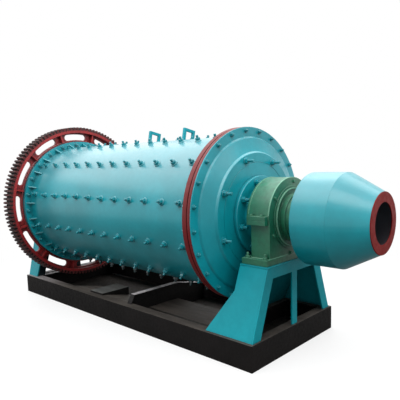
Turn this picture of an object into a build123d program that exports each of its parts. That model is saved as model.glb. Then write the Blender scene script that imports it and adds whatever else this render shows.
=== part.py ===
# Ball mill: a liner-bolted drum with a girth gear, turning in two pedestal bearings
# on a welded channel base, with a coned discharge barrel outside the bearing.
# Millimetres. X runs along the mill axis, with +X at the discharge end. -Y is the near
# side, +Z is up and the floor is z = 0. Everything is laid out from the middle of the
# base, and moved at the end so that the origin is under the middle of the whole length.
import os
from math import cos, pi, sin

from build123d import *

# Mill axis and drum shell
drum_floor_clearance = 470.0
shell_radius = 750.0
shell_thickness = 20.0
shell_length = 3000.0
drum_offset = -75.0

# Shell flanges and the gussets behind the feed flange
flange_stand_out = 79.0
shell_flange_thickness = 50.0
gusset_count = 24
gusset_thickness = 14.0
gusset_reach = 112.0
gusset_height = 58.0
gusset_tip_height = 4.0
gusset_first_angle = 12.0

# Square-bar handles on the shell
handle_spacing = 590.0
handle_middle_x = 170.0
handle_angle = 78.4
handle_rise = 145.0
handle_leg_spacing = 132.0
handle_bar = 32.0

# Drum heads
head_flange_thickness = 42.0
gasket_thickness = 10.0
gasket_setback = 17.0
head_step_setback = 15.0
head_step_height = 18.0
head_crown_setback = 152.0
head_crown_rise = 58.0
head_boss_setback = 170.0
head_boss_rise = 83.0
head_wall = 62.0
head_edge_blend = 14.0

# Hollow trunnions
trunnion_bore_radius = 130.0
trunnion_flange_radius = 369.0
trunnion_flange_thickness = 38.0
trunnion_spigot_radius = 230.0
trunnion_root_radius = 246.0
trunnion_root_length = 60.0
journal_radius = 200.0
neck_radius = 180.0
feed_spout_length = 55.0
spout_lip_radius = 205.0
spout_lip_thickness = 20.0

# Girth gear
gear_module = 16.0
gear_pitch_stand_out = 258.0
gear_addendum = 16.0
gear_dedendum = 24.0
tooth_tip_share = 0.20
tooth_root_share = 0.40
gear_face_width = 180.0
gear_face_overhang = 68.0
gear_rim_stand_out = 198.0
gear_web_thickness = 34.0
gear_flange_thickness = 50.0
gear_flange_gap = 20.0
gear_flange_stand_out = 98.0
gear_slot_count = 12
gear_slot_first_angle = 2.0
gear_slot_arc = 15.8
gear_slot_stand_out = 143.0
gear_slot_width = 78.0
gear_rib_thickness = 20.0
gear_rib_setback = 14.0

# Pedestal bearings
running_clearance = 0.3
trunnion_to_housing = 99.0
housing_width = 238.0
housing_radius = 355.5
housing_body_half_width = 345.0
housing_body_setback = 40.0
housing_foot_half_width = 400.0
housing_foot_overhang_outer = 10.0
housing_foot_overhang_inner = 27.0
housing_foot_thickness = 55.0
joint_ear_half_width = 398.0
joint_ear_outer_inset = 12.0
joint_ear_inner_inset = 32.0
cap_ear_height = 35.0
base_ear_height = 43.0
cover_radius = 285.0
cover_plate_thickness = 9.0
cover_ridge_radius = 262.0
cover_ridge_height = 20.0
feed_boss_radius = 228.0
feed_boss_height = 36.0
discharge_boss_radius = 213.0
discharge_boss_height = 64.0
seal_collar_radius = 199.0
seal_collar_height = 46.0
seal_collar_lip = 6.0
shoulder_clearance = 5.0
cover_inner_thickness = 16.0

# Discharge barrel and cone
barrel_gap = 228.0
barrel_radius = 400.0
barrel_wall = 10.0
barrel_length = 317.0
barrel_back_thickness = 16.0
cone_length = 289.0
mouth_outer_radius = 250.0
mouth_opening_radius = 168.0
mouth_ring_thickness = 8.0
barrel_flange_radius = 245.0
barrel_flange_thickness = 24.0

# Welded base
base_extra_length = 958.0
base_width = 1330.0
base_height = 230.0
beam_flange_width = 110.0
beam_web_thickness = 12.0
beam_flange_thickness = 14.0
end_flange_width = 100.0
cross_flange_width = 90.0
feed_cross_beam_offset = 88.0
discharge_cross_beam_offset = 10.0
anchor_hole_radius = 14.0
anchor_end_distance = 229.0
anchor_edge_distance = 55.0
floor_plate_thickness = 6.0
floor_plate_lap = 30.0

# Raised cross wall with its flanges
wall_x = 255.0
wall_thickness = 12.0
wall_flange_width = 70.0
wall_flange_thickness = 10.0
wall_rise = 95.0
wall_near_foot_inset = 72.0
wall_near_top_inset = 125.0
wall_far_top_y = 90.0
wall_far_foot_inset = 115.0

# Sloped deck plate and the wedge pad on it
deck_start_x = -900.0
deck_width = 355.0
deck_drop = 80.0
deck_thickness = 10.0
pad_start_x = -500.0
pad_length = 250.0
pad_near_overlap = 35.0
pad_far_setback = 20.0
pad_rise = 22.0

# Level plate in the bay next to the raised wall
bay_plate_near_y = -360.0
bay_plate_far_y = 100.0
bay_plate_drop = 100.0
bay_plate_thickness = 10.0

# Bearing stands, placed from the bearing housings they carry
axis_above_stand = 390.0
stand_plate = 16.0
stand_foot_inset = 32.0
stand_top_half_width = 415.0
stand_leg_band = 112.0
stand_top_band = 90.0
stand_rib_width = 80.0
discharge_stand_outer_reach = 27.0
discharge_stand_foot_reach = 270.0
discharge_stand_knee_reach = 38.0
discharge_stand_knee_drop = 228.0
discharge_stand_top_reach = 36.0
feed_stand_outer_reach = 25.0
feed_stand_end_setback = 7.0
feed_stand_foot_reach = 135.0
feed_stand_knee_reach = 97.0
feed_stand_knee_drop = 230.0
feed_stand_top_reach = 79.0

# Radii and heights that follow from the shell's radius
axis_height = shell_radius + drum_floor_clearance
flange_radius = shell_radius + flange_stand_out
gasket_radius = flange_radius - gasket_setback
head_step_radius = shell_radius - head_step_setback
head_crown_radius = shell_radius - head_crown_setback
head_boss_radius = shell_radius - head_boss_setback
gear_teeth = round(2 * (shell_radius + gear_pitch_stand_out) / gear_module)
gear_flange_inner_radius = shell_radius + gear_flange_gap
gear_flange_outer_radius = shell_radius + gear_flange_stand_out
gear_slot_radius = shell_radius + gear_slot_stand_out
gear_rim_inner_radius = shell_radius + gear_rim_stand_out
stand_top = axis_height - axis_above_stand

# Places along the axis that follow from the sizes above
shell_feed_x = drum_offset - shell_length / 2
shell_discharge_x = drum_offset + shell_length / 2
discharge_face_x = shell_discharge_x + gasket_thickness + head_flange_thickness
feed_face_x = shell_feed_x - gear_flange_thickness - head_flange_thickness
trunnion_face = head_boss_rise + trunnion_flange_thickness
housing_inner = trunnion_face + trunnion_to_housing
housing_outer = housing_inner + housing_width
barrel_back = housing_outer + barrel_gap
feed_neck_start = housing_outer + feed_boss_height
feed_trunnion_end = feed_neck_start + feed_spout_length
discharge_boss_face = housing_outer + discharge_boss_height
seal_collar_start = discharge_boss_face - seal_collar_lip
discharge_neck_start = seal_collar_start - shoulder_clearance
barrel_back_x = discharge_face_x + barrel_back
barrel_fold_x = barrel_back_x + barrel_length
mouth_x = barrel_fold_x + cone_length + mouth_ring_thickness
feed_end_x = feed_face_x - feed_trunnion_end
middle_x = (feed_end_x + mouth_x) / 2
stand_plate_top = stand_top - stand_plate
stand_foot_half_width = base_width / 2 - stand_foot_inset
base_length = shell_length + base_extra_length
beam_inner_y = base_width / 2 - beam_flange_width
discharge_housing_inner_x = discharge_face_x + housing_inner
discharge_stand_foot_inner = discharge_housing_inner_x - discharge_stand_foot_reach
feed_housing_inner_x = feed_face_x - housing_inner
feed_stand_foot_inner = feed_housing_inner_x + feed_stand_foot_reach
feed_cross_beam_x = feed_stand_foot_inner - feed_cross_beam_offset
discharge_cross_beam_x = discharge_stand_foot_inner - discharge_cross_beam_offset

to_axis = Pos(0, 0, axis_height)


def ring(outer_radius, inner_radius, x_start, x_end):
    """A plain ring about the X axis."""
    outline = Circle(outer_radius) - Circle(inner_radius)
    return extrude(Plane.YZ.offset(x_start) * outline, x_end - x_start)


def disc(radius, x_start, x_end):
    """A plain round bar about the X axis, from x_start to x_end."""
    return extrude(Plane.YZ.offset(x_start) * Circle(radius), x_end - x_start)


def turned(*points):
    """A solid turned about the X axis from a closed outline of (x, radius) points."""
    outline = make_face(Polyline(*points, close=True))
    return revolve(Plane.XZ * outline, Axis.X)


def prism_along_y(points, half_width):
    """An (x, z) outline carried to half_width on both sides of y = 0."""
    outline = make_face(Polyline(*points, close=True))
    return extrude(Plane.XZ * outline, half_width, both=True)


def prism_along_x(points, x_start, x_end):
    """A (y, z) outline carried from x_start to x_end."""
    outline = make_face(Polyline(*points, close=True))
    return extrude(Plane.YZ.offset(x_start) * outline, x_end - x_start)


def block(x_start, x_end, y_start, y_end, z_start, z_end):
    """A rectangular block between two corners."""
    size = (x_end - x_start, y_end - y_start, z_end - z_start)
    middle = ((x_start + x_end) / 2, (y_start + y_end) / 2, (z_start + z_end) / 2)
    return Pos(*middle) * Box(*size)


def channel_outline(flange_width):
    """A channel section: web on the line 0, flanges towards positive."""
    return [
        (0, 0),
        (flange_width, 0),
        (flange_width, beam_flange_thickness),
        (beam_web_thickness, beam_flange_thickness),
        (beam_web_thickness, base_height - beam_flange_thickness),
        (flange_width, base_height - beam_flange_thickness),
        (flange_width, base_height),
        (0, base_height),
    ]


def at_end(shape, end):
    """Carries a shape, drawn outwards from the head's flange face, to one end of the drum."""
    if end == "feed":
        return Pos(feed_face_x, 0, axis_height) * mirror(shape, about=Plane.YZ)
    return Pos(discharge_face_x, 0, axis_height) * shape


# Drum shell, flanges and handles
def make_shell():
    return to_axis * ring(
        shell_radius, shell_radius - shell_thickness, shell_feed_x, shell_discharge_x
    )


def make_discharge_flange():
    start = shell_discharge_x - shell_flange_thickness
    return to_axis * ring(flange_radius, shell_radius, start, shell_discharge_x)


def make_feed_flange():
    """The feed flange with its triangular gussets, welded round the shell."""
    flange_inner_x = shell_feed_x + shell_flange_thickness
    gusset_end = flange_inner_x + gusset_reach
    flange = disc(flange_radius, shell_feed_x, flange_inner_x)
    gusset = prism_along_y(
        [
            (shell_feed_x, shell_radius / 2),
            (gusset_end, shell_radius / 2),
            (gusset_end, shell_radius + gusset_tip_height),
            (flange_inner_x, shell_radius + gusset_height),
            (shell_feed_x, shell_radius + gusset_height),
        ],
        gusset_thickness / 2,
    )
    step = 360 / gusset_count
    gussets = [Rot(gusset_first_angle + step * k, 0, 0) * gusset for k in range(gusset_count)]
    return to_axis * (flange + gussets - disc(shell_radius, shell_feed_x, gusset_end))


def make_handles():
    """Two bent square bars standing on the shell, each across the drum's length."""
    outer = (handle_leg_spacing + handle_bar) / 2
    inner = (handle_leg_spacing - handle_bar) / 2
    top = shell_radius + handle_rise
    outline = block(-handle_bar / 2, handle_bar / 2, -outer, outer, 0, top)
    hole = block(-handle_bar, handle_bar, -inner, inner, 0, top - handle_bar)
    bar = outline - hole - disc(shell_radius, -handle_bar, handle_bar)
    turned_bar = Rot(handle_angle - 90, 0, 0) * bar
    places = (-handle_spacing / 2, handle_spacing / 2)
    return to_axis * Compound([Pos(handle_middle_x + x, 0, 0) * turned_bar for x in places])


# Heads and trunnions, drawn outwards from the head's flange face
def make_head(end):
    """A dished cast head: bolting flange, raised step, conical crown and flat boss."""
    inner_boss = head_boss_rise - head_wall
    head = turned(
        (-head_flange_thickness, trunnion_spigot_radius),
        (-head_flange_thickness, flange_radius),
        (0, flange_radius),
        (0, head_step_radius),
        (head_step_height, head_step_radius - head_edge_blend),
        (head_crown_rise, head_crown_radius),
        (head_boss_rise, head_boss_radius),
        (head_boss_rise, trunnion_spigot_radius),
    )
    dish = turned(
        (-head_flange_thickness, 0),
        (-head_flange_thickness, head_step_radius - head_wall),
        (inner_boss, head_crown_radius - 2 * head_wall),
        (inner_boss, 0),
    )
    return at_end(head - dish, end)


def make_trunnion(end):
    """A hollow trunnion: spigot in the head, bolting flange, journal and neck."""
    inner_boss = head_boss_rise - head_wall
    neck_start = discharge_neck_start if end == "discharge" else feed_neck_start
    tail = barrel_back if end == "discharge" else feed_trunnion_end
    outline = [
        (inner_boss, trunnion_bore_radius),
        (inner_boss, trunnion_spigot_radius),
        (head_boss_rise, trunnion_spigot_radius),
        (head_boss_rise, trunnion_flange_radius),
        (trunnion_face, trunnion_flange_radius),
        (trunnion_face, trunnion_root_radius),
        (trunnion_face + trunnion_root_length, journal_radius),
        (neck_start, journal_radius),
        (neck_start, neck_radius),
    ]
    if end == "discharge":
        outline += [
            (tail - barrel_flange_thickness, neck_radius),
            (tail - barrel_flange_thickness, barrel_flange_radius),
            (tail, barrel_flange_radius),
        ]
    else:
        outline += [
            (tail - spout_lip_thickness, neck_radius),
            (tail - spout_lip_thickness, spout_lip_radius),
            (tail, spout_lip_radius),
        ]
    outline += [(tail, trunnion_bore_radius)]
    return at_end(turned(*outline), end)


def make_gasket():
    start = shell_discharge_x
    inner = head_step_radius - head_wall
    return to_axis * ring(gasket_radius, inner, start, start + gasket_thickness)


# Girth gear
def tooth_outline():
    """The gear's outer edge in the YZ plane, four points to a tooth.

    The shares say how far half a tooth reaches at its tip and at its root, of one pitch.
    """
    pitch_radius = gear_module * gear_teeth / 2
    tip_radius = pitch_radius + gear_addendum
    root_radius = pitch_radius - gear_dedendum
    pitch_angle = 2 * pi / gear_teeth
    points = []
    for tooth in range(gear_teeth):
        middle = tooth * pitch_angle
        for share, radius in (
            (-tooth_root_share, root_radius),
            (-tooth_tip_share, tip_radius),
            (tooth_tip_share, tip_radius),
            (tooth_root_share, root_radius),
        ):
            angle = middle + share * pitch_angle
            points.append((radius * cos(angle), radius * sin(angle)))
    return points


def make_gear():
    """The girth gear: toothed rim, slotted web with a rib on each spoke, bolting flange."""
    face_end = shell_feed_x + gear_face_width - gear_flange_thickness - gear_face_overhang
    face_start = face_end - gear_face_width
    flange_start = shell_feed_x - gear_flange_thickness
    web_start = shell_feed_x - (gear_flange_thickness + gear_web_thickness) / 2
    web_end = web_start + gear_web_thickness

    rim_outline = make_face(Polyline(*tooth_outline(), close=True))
    rim_outline -= Circle(gear_rim_inner_radius)
    rim = extrude(Plane.YZ.offset(face_start) * rim_outline, gear_face_width)

    web = ring(gear_rim_inner_radius, gear_flange_outer_radius, web_start, web_end)
    flange = ring(
        gear_flange_outer_radius, gear_flange_inner_radius, flange_start, shell_feed_x
    )

    step = 360 / gear_slot_count
    half_arc = gear_slot_arc / 2
    slots = []
    ribs = []
    rib = block(
        face_start + gear_rib_setback,
        face_end - gear_rib_setback,
        -gear_rib_thickness / 2,
        gear_rib_thickness / 2,
        (gear_flange_outer_radius + gear_flange_inner_radius) / 2,
        gear_rim_inner_radius,
    )
    rib -= disc(gear_flange_outer_radius, face_start, face_end)
    for k in range(gear_slot_count):
        angle = gear_slot_first_angle + step * k
        path = CenterArc((0, 0), gear_slot_radius, angle - half_arc, gear_slot_arc)
        slot = SlotArc(path, gear_slot_width)
        slots.append(extrude(Plane.YZ.offset(web_start) * slot, gear_web_thickness))
        ribs.append(Rot(angle + step / 2, 0, 0) * rib)
    gear = rim + (web - slots) + flange + ribs
    return to_axis * gear


# Pedestal bearings, drawn outwards from the head's flange face
def bearing_bore():
    radius = journal_radius + running_clearance
    return disc(radius, housing_inner - housing_width, housing_outer + housing_width)


def make_bearing_base(end):
    """The lower housing: foot plate, set-back body and the ears of the split joint."""
    foot_z = stand_top - axis_height
    body_z = foot_z + housing_foot_thickness
    foot = block(
        housing_inner - housing_foot_overhang_inner,
        housing_outer + housing_foot_overhang_outer,
        -housing_foot_half_width,
        housing_foot_half_width,
        foot_z,
        body_z,
    )
    body = block(
        housing_inner + housing_body_setback,
        housing_outer,
        -housing_body_half_width,
        housing_body_half_width,
        body_z,
        0,
    )
    ears = block(
        housing_inner + joint_ear_inner_inset,
        housing_outer - joint_ear_outer_inset,
        -joint_ear_half_width,
        joint_ear_half_width,
        -base_ear_height,
        0,
    )
    return at_end(foot + body + ears - bearing_bore(), end)


def make_bearing_cap(end):
    """The upper housing: a half drum with the matching ears."""
    barrel = disc(housing_radius, housing_inner, housing_outer)
    barrel &= block(
        housing_inner, housing_outer, -housing_radius, housing_radius, 0, housing_radius
    )
    ears = block(
        housing_inner + joint_ear_inner_inset,
        housing_outer - joint_ear_outer_inset,
        -joint_ear_half_width,
        joint_ear_half_width,
        0,
        cap_ear_height,
    )
    return at_end(barrel + ears - bearing_bore(), end)


def make_outer_cover(end):
    """The outer end cover: a plate with a raised ridge, a seal boss and, at the discharge
    end, a collar that carries the seal along the neck."""
    bore = journal_radius + running_clearance
    ridge_inner = cover_ridge_radius - cover_plate_thickness
    plate_face = housing_outer + cover_plate_thickness
    ridge_face = housing_outer + cover_ridge_height
    outline = [
        (housing_outer, bore),
        (housing_outer, cover_radius),
        (plate_face, cover_radius),
        (plate_face, cover_ridge_radius),
        (ridge_face, cover_ridge_radius),
        (ridge_face, ridge_inner),
        (plate_face, ridge_inner),
    ]
    if end == "discharge":
        neck_bore = neck_radius + running_clearance
        collar_face = discharge_boss_face + seal_collar_height
        outline += [
            (plate_face, discharge_boss_radius),
            (discharge_boss_face, discharge_boss_radius),
            (discharge_boss_face, seal_collar_radius),
            (collar_face, seal_collar_radius),
            (collar_face, neck_bore),
            (seal_collar_start, neck_bore),
            (seal_collar_start, bore),
        ]
    else:
        outline += [
            (plate_face, feed_boss_radius),
            (feed_neck_start, feed_boss_radius),
            (feed_neck_start, bore),
        ]
    return at_end(turned(*outline), end)


def make_inner_cover(end):
    """The plain end cover that faces the drum."""
    bore = journal_radius + running_clearance
    plate = ring(cover_radius, bore, housing_inner - cover_inner_thickness, housing_inner)
    return at_end(plate, end)


# Discharge barrel
def make_barrel():
    """The drum of the discharge barrel with its back plate."""
    back_inner = barrel_back_x + barrel_back_thickness
    barrel = turned(
        (barrel_back_x, trunnion_bore_radius),
        (barrel_back_x, barrel_radius),
        (barrel_fold_x, barrel_radius),
        (barrel_fold_x, barrel_radius - barrel_wall),
        (back_inner, barrel_radius - barrel_wall),
        (back_inner, trunnion_bore_radius),
    )
    return to_axis * barrel


def make_cone():
    end = barrel_fold_x + cone_length
    cone = turned(
        (barrel_fold_x, barrel_radius),
        (end, mouth_outer_radius),
        (end, mouth_outer_radius - barrel_wall),
        (barrel_fold_x, barrel_radius - barrel_wall),
    )
    return to_axis * cone


def make_mouth_ring():
    start = barrel_fold_x + cone_length
    return to_axis * ring(mouth_outer_radius, mouth_opening_radius, start, mouth_x)


# Welded base
def make_side_beam(side):
    """A long channel with its web outside, drilled for its two anchors."""
    half = base_width / 2
    section = [(side * (half - y), z) for y, z in channel_outline(beam_flange_width)]
    beam = prism_along_x(section, -base_length / 2, base_length / 2)
    anchor_x = base_length / 2 - anchor_end_distance
    anchor_y = half - anchor_edge_distance
    for x in (-anchor_x, anchor_x):
        hole = Cylinder(anchor_hole_radius, 2 * beam_flange_thickness)
        beam -= Pos(x, side * anchor_y, 0) * hole
    return beam


def coped(beam):
    """A cross member cut away where the two side beams stand."""
    half = base_width / 2
    long = base_length
    for side in (-1, 1):
        outline = channel_outline(beam_flange_width)
        section = [(side * (half - y), z) for y, z in outline]
        beam -= prism_along_x(section, -long, long)
    return beam


def make_cross_beam(web_x, direction, flange_width):
    """A channel across the base, with its flanges towards direction."""
    outline = [(web_x + direction * x, z) for x, z in channel_outline(flange_width)]
    return coped(prism_along_y(outline, base_width / 2))


def make_cross_wall():
    """The raised wall between two bays: a web with a folded top flange and a foot flange."""
    half = base_width / 2
    wall_top = base_height + wall_rise
    top_line = [
        (wall_near_foot_inset - half, base_height),
        (wall_near_top_inset - half, wall_top),
        (wall_far_top_y, wall_top),
        (half - wall_far_foot_inset, base_height),
    ]
    web_line = [(-beam_inner_y, 0), (-beam_inner_y, base_height)] + top_line
    web_line += [(beam_inner_y, base_height), (beam_inner_y, 0)]
    start = wall_x - wall_thickness / 2
    wall = prism_along_x(web_line, start, start + wall_thickness)
    under = [(y, z - wall_flange_thickness) for y, z in reversed(top_line)]
    flange_start = wall_x - wall_flange_width / 2
    cap = prism_along_x(top_line + under, flange_start, flange_start + wall_flange_width)
    beams = block(
        flange_start, flange_start + wall_flange_width, -base_width, base_width, 0, base_height
    )
    foot = block(
        flange_start,
        flange_start + wall_flange_width,
        -beam_inner_y,
        beam_inner_y,
        0,
        wall_flange_thickness,
    )
    return wall + (cap - beams) + foot


def deck_height(y):
    """Height of the deck's upper face at y."""
    return base_height - (y + beam_inner_y) * deck_drop / deck_width


def make_deck_plate():
    """The plate that slopes down from the near beam into the middle of the base."""
    near = -beam_inner_y
    far = near + deck_width
    section = [
        (near, deck_height(near)),
        (far, deck_height(far)),
        (far, deck_height(far) - deck_thickness),
        (near, deck_height(near) - deck_thickness),
    ]
    return prism_along_x(section, deck_start_x, wall_x - wall_thickness / 2)


def make_deck_pad():
    """The level-topped wedge pad that stands on the deck and the beam's flange."""
    near = -beam_inner_y - pad_near_overlap
    far = -beam_inner_y + deck_width - pad_far_setback
    section = [
        (near, base_height),
        (-beam_inner_y, base_height),
        (far, deck_height(far)),
        (far, base_height + pad_rise),
        (near, base_height + pad_rise),
    ]
    return prism_along_x(section, pad_start_x, pad_start_x + pad_length)


def make_floor_plates():
    """The thin plates on the beams' lower flanges, under all bays but the feed end's."""
    half_wall = wall_thickness / 2
    bays = [
        (feed_cross_beam_x + beam_web_thickness, wall_x - half_wall),
        (wall_x + half_wall, discharge_cross_beam_x),
        (discharge_cross_beam_x + beam_web_thickness, base_length / 2 - beam_web_thickness),
    ]
    half_width = beam_inner_y + floor_plate_lap
    top = beam_flange_thickness + floor_plate_thickness
    return Compound(
        [
            block(start, end, -half_width, half_width, beam_flange_thickness, top)
            for start, end in bays
        ]
    )


def make_bay_plate():
    """The level plate between the raised wall and the discharge cross beam."""
    top = base_height - bay_plate_drop
    return block(
        wall_x + wall_thickness / 2,
        discharge_cross_beam_x,
        bay_plate_near_y,
        bay_plate_far_y,
        top - bay_plate_thickness,
        top,
    )


# Bearing stands
def stand_half_width(z):
    """Half the stand's outside width at height z."""
    share = (z - base_height) / (stand_plate_top - base_height)
    return stand_foot_half_width + share * (stand_top_half_width - stand_foot_half_width)


def stand_outline(inset):
    """The stand's tapering (y, z) outline, drawn in by inset on each side."""
    foot = stand_foot_half_width - inset
    top = stand_top_half_width - inset
    return [
        (-foot, base_height),
        (-top, stand_plate_top),
        (top, stand_plate_top),
        (foot, base_height),
    ]


def with_windows(plate, x_start, x_end):
    """Cuts the two tall windows, left and right of the middle rib, out of a plate."""
    window_top = stand_plate_top - stand_top_band
    for side in (-1, 1):
        window = [
            (side * stand_rib_width / 2, base_height),
            (side * stand_rib_width / 2, window_top),
            (side * (stand_half_width(window_top) - stand_leg_band), window_top),
            (side * (stand_foot_half_width - stand_leg_band), base_height),
        ]
        plate -= prism_along_x(window, x_start, x_end)
    return plate


def make_stand(foot_outer, top_outer, foot_inner, knee, top_inner, open_back):
    """The plates of one stand, by name, from its side outline in x and z."""
    outwards = 1 if foot_outer > foot_inner else -1
    plate = outwards * stand_plate
    low_x = min(foot_outer, top_outer, foot_inner)
    high_x = max(foot_outer, top_outer, foot_inner, top_inner)
    wide = stand_foot_half_width

    front = prism_along_y(
        [
            (foot_outer, base_height),
            (top_outer, stand_plate_top),
            (top_outer - plate, stand_plate_top),
            (foot_outer - plate, base_height),
        ],
        wide,
    )
    front &= prism_along_x(stand_outline(0), low_x, high_x)
    front = with_windows(front, low_x, high_x)

    side_profile = prism_along_y(
        [
            (foot_outer - plate, base_height),
            (foot_inner, base_height),
            knee,
            (top_inner, stand_plate_top),
            (top_outer - plate, stand_plate_top),
        ],
        wide,
    )
    outer_shape = prism_along_x(stand_outline(0), low_x, high_x)
    inner_shape = prism_along_x(stand_outline(stand_plate), low_x, high_x)
    sides = side_profile & (outer_shape - inner_shape)
    near_side, far_side = sides.solids().sort_by(Axis.Y)

    back = prism_along_y(
        [
            (foot_inner, base_height),
            knee,
            (top_inner, stand_plate_top),
            (top_inner + plate, stand_plate_top),
            (knee[0] + plate, knee[1]),
            (foot_inner + plate, base_height),
        ],
        wide,
    )
    back &= inner_shape
    if open_back:
        back = with_windows(back, low_x, high_x)

    top = block(
        min(top_inner, top_outer),
        max(top_inner, top_outer),
        -stand_top_half_width,
        stand_top_half_width,
        stand_plate_top,
        stand_top,
    )
    return {
        "front_frame": front,
        "side_near": near_side,
        "side_far": far_side,
        "back_plate": back,
        "top_plate": top,
    }


def build():
    """Every node of the mill, by name, laid out from the middle of the base."""
    half_length = base_length / 2
    nodes = {
        "base_beam_near": make_side_beam(-1),
        "base_beam_far": make_side_beam(1),
        "base_beam_feed": make_cross_beam(-half_length, 1, end_flange_width),
        "base_beam_discharge": make_cross_beam(half_length, -1, end_flange_width),
        "base_cross_beam_feed": make_cross_beam(feed_cross_beam_x, 1, cross_flange_width),
        "base_cross_beam_discharge": make_cross_beam(
            discharge_cross_beam_x, 1, cross_flange_width
        ),
        "base_cross_wall": make_cross_wall(),
        "base_floor_plates": make_floor_plates(),
        "base_bay_plate": make_bay_plate(),
        "deck_plate": make_deck_plate(),
        "deck_pad": make_deck_pad(),
        "drum_shell": make_shell(),
        "drum_flange_feed": make_feed_flange(),
        "drum_flange_discharge": make_discharge_flange(),
        "drum_handles": make_handles(),
        "head_gasket": make_gasket(),
        "ring_gear": make_gear(),
        "discharge_barrel": make_barrel(),
        "discharge_cone": make_cone(),
        "discharge_mouth_ring": make_mouth_ring(),
    }
    discharge_outer = discharge_face_x + housing_outer + discharge_stand_outer_reach
    stands = {
        "discharge": make_stand(
            foot_outer=discharge_outer,
            top_outer=discharge_outer,
            foot_inner=discharge_stand_foot_inner,
            knee=(
                discharge_housing_inner_x - discharge_stand_knee_reach,
                stand_top - discharge_stand_knee_drop,
            ),
            top_inner=discharge_housing_inner_x - discharge_stand_top_reach,
            open_back=False,
        ),
        "feed": make_stand(
            foot_outer=feed_stand_end_setback - half_length,
            top_outer=feed_face_x - housing_outer - feed_stand_outer_reach,
            foot_inner=feed_stand_foot_inner,
            knee=(
                feed_housing_inner_x + feed_stand_knee_reach,
                stand_top - feed_stand_knee_drop,
            ),
            top_inner=feed_housing_inner_x + feed_stand_top_reach,
            open_back=True,
        ),
    }
    for end in ("feed", "discharge"):
        nodes[end + "_head"] = make_head(end)
        nodes[end + "_trunnion"] = make_trunnion(end)
        nodes[end + "_bearing_base"] = make_bearing_base(end)
        nodes[end + "_bearing_cap"] = make_bearing_cap(end)
        nodes[end + "_bearing_outer_cover"] = make_outer_cover(end)
        nodes[end + "_bearing_inner_cover"] = make_inner_cover(end)
        for name, plate in stands[end].items():
            nodes[end + "_stand_" + name] = plate
    return nodes


os.makedirs("parts", exist_ok=True)
for name, shape in build().items():
    export_step(Pos(-middle_x, 0, 0) * shape, "parts/" + name + ".step")
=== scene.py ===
# The looks of the ball mill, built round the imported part. Metres, in the part's own frame:
# X along the mill's axis with +X at the discharge end, -Y the near side, +Z up, and the
# origin on the floor under the middle of the whole length.
import math
import random

import bmesh
import bpy
import numpy as np
from mathutils import Matrix, Vector


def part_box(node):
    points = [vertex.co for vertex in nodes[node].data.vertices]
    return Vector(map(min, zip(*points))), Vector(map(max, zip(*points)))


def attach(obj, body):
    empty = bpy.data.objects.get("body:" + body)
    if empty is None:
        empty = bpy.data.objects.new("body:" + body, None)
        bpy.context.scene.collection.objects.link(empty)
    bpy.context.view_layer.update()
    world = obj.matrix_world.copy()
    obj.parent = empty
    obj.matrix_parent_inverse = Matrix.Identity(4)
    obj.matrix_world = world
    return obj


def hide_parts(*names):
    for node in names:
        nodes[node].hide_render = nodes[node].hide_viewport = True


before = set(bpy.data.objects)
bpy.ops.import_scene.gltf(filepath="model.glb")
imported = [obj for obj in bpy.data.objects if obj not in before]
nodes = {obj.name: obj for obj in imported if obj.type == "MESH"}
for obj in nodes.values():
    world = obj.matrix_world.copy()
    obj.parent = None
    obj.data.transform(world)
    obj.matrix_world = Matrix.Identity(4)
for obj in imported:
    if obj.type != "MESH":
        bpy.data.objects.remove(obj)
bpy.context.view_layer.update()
chance = random.Random(7)

# Places that repeat the part's own sizes. Each end of the mill has the X of its head's face
# and the way that looks outwards from it.
axis_z = 1.220
shell_feed_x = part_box("drum_shell")[0].x
shell_discharge_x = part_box("drum_shell")[1].x
drum_flange_thickness = 0.050
gear_flange_thickness = 0.050
gasket_thickness = 0.010
head_flange_thickness = 0.042
face_of_end = {
    "feed": (shell_feed_x - gear_flange_thickness - head_flange_thickness, -1.0),
    "discharge": (shell_discharge_x + gasket_thickness + head_flange_thickness, 1.0),
}
gusset_half = 0.007
stand_top_z = 0.830
foot_top_z = stand_top_z + 0.055
ear_top_z = axis_z + 0.035
ear_seam_z = axis_z - 0.043
housing_side_y = 0.345

# Offsets from a head's face, outwards along the axis
head_back = -head_flange_thickness
head_boss_face = 0.083
trunnion_face = 0.121
housing_inner = 0.220
housing_outer = 0.458
housing_width = housing_outer - housing_inner
neck_start = {"feed": 0.494, "discharge": 0.511}
barrel_back = 0.686

# Radii about the mill's axis, and how many sides the turned pieces have
large_round = 144
small_round = 96
shell_radius = 0.750
head_radius = 0.8275
trunnion_flange_radius = 0.369
journal_radius = 0.200
neck_radius = 0.180
trunnion_bore_radius = 0.130
cap_radius = 0.3555

# Colours as sRGB, but for the ground, which is a linear one
teal = (6, 150, 163)
teal_cast = (6, 149, 163)
worn_and_highlight_teal = (138, 198, 207)
faded_teal = (96, 146, 156)
gear_red = (158, 34, 36)
flange_red = (112, 22, 25)
mouth_red = (116, 18, 16)
bearing_green = (31, 115, 84)
worn_and_highlight_green = (112, 168, 140)
bolt_green_and_highlight = (62, 128, 100)
base_black = (16, 14, 14)
base_dust = (98, 91, 85)
pad_dust = (118, 118, 116)
ledge_dust_and_light = (236, 228, 230)
dust_grey = (196, 190, 178)
scuff_brown = (92, 80, 72)
gear_corner_shade = (38, 22, 22)
tooth_grease = (20, 14, 12)
rubber_black = (26, 27, 29)
inside_dark = (110, 105, 114)
stand_shade_colour = (6, 34, 40)
floor_white = (240, 240, 240)
dark_ground = (0.14, 0.135, 0.13, 1.0)

# The clear coat of the sprayed pieces
coat_ior = 1.6
coat_roughness = 0.28


def linear(colour):
    """An sRGB colour of three numbers up to 255, as the linear colour that a shader takes."""
    out = []
    for channel in colour:
        share = channel / 255
        if share <= 0.04045:
            out.append(share / 12.92)
        else:
            out.append(((share + 0.055) / 1.055) ** 2.4)
    return (*out, 1.0)


def shade(colour, share):
    """A colour made darker or lighter by a share."""
    return tuple(min(255, channel * share) for channel in colour)


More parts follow.
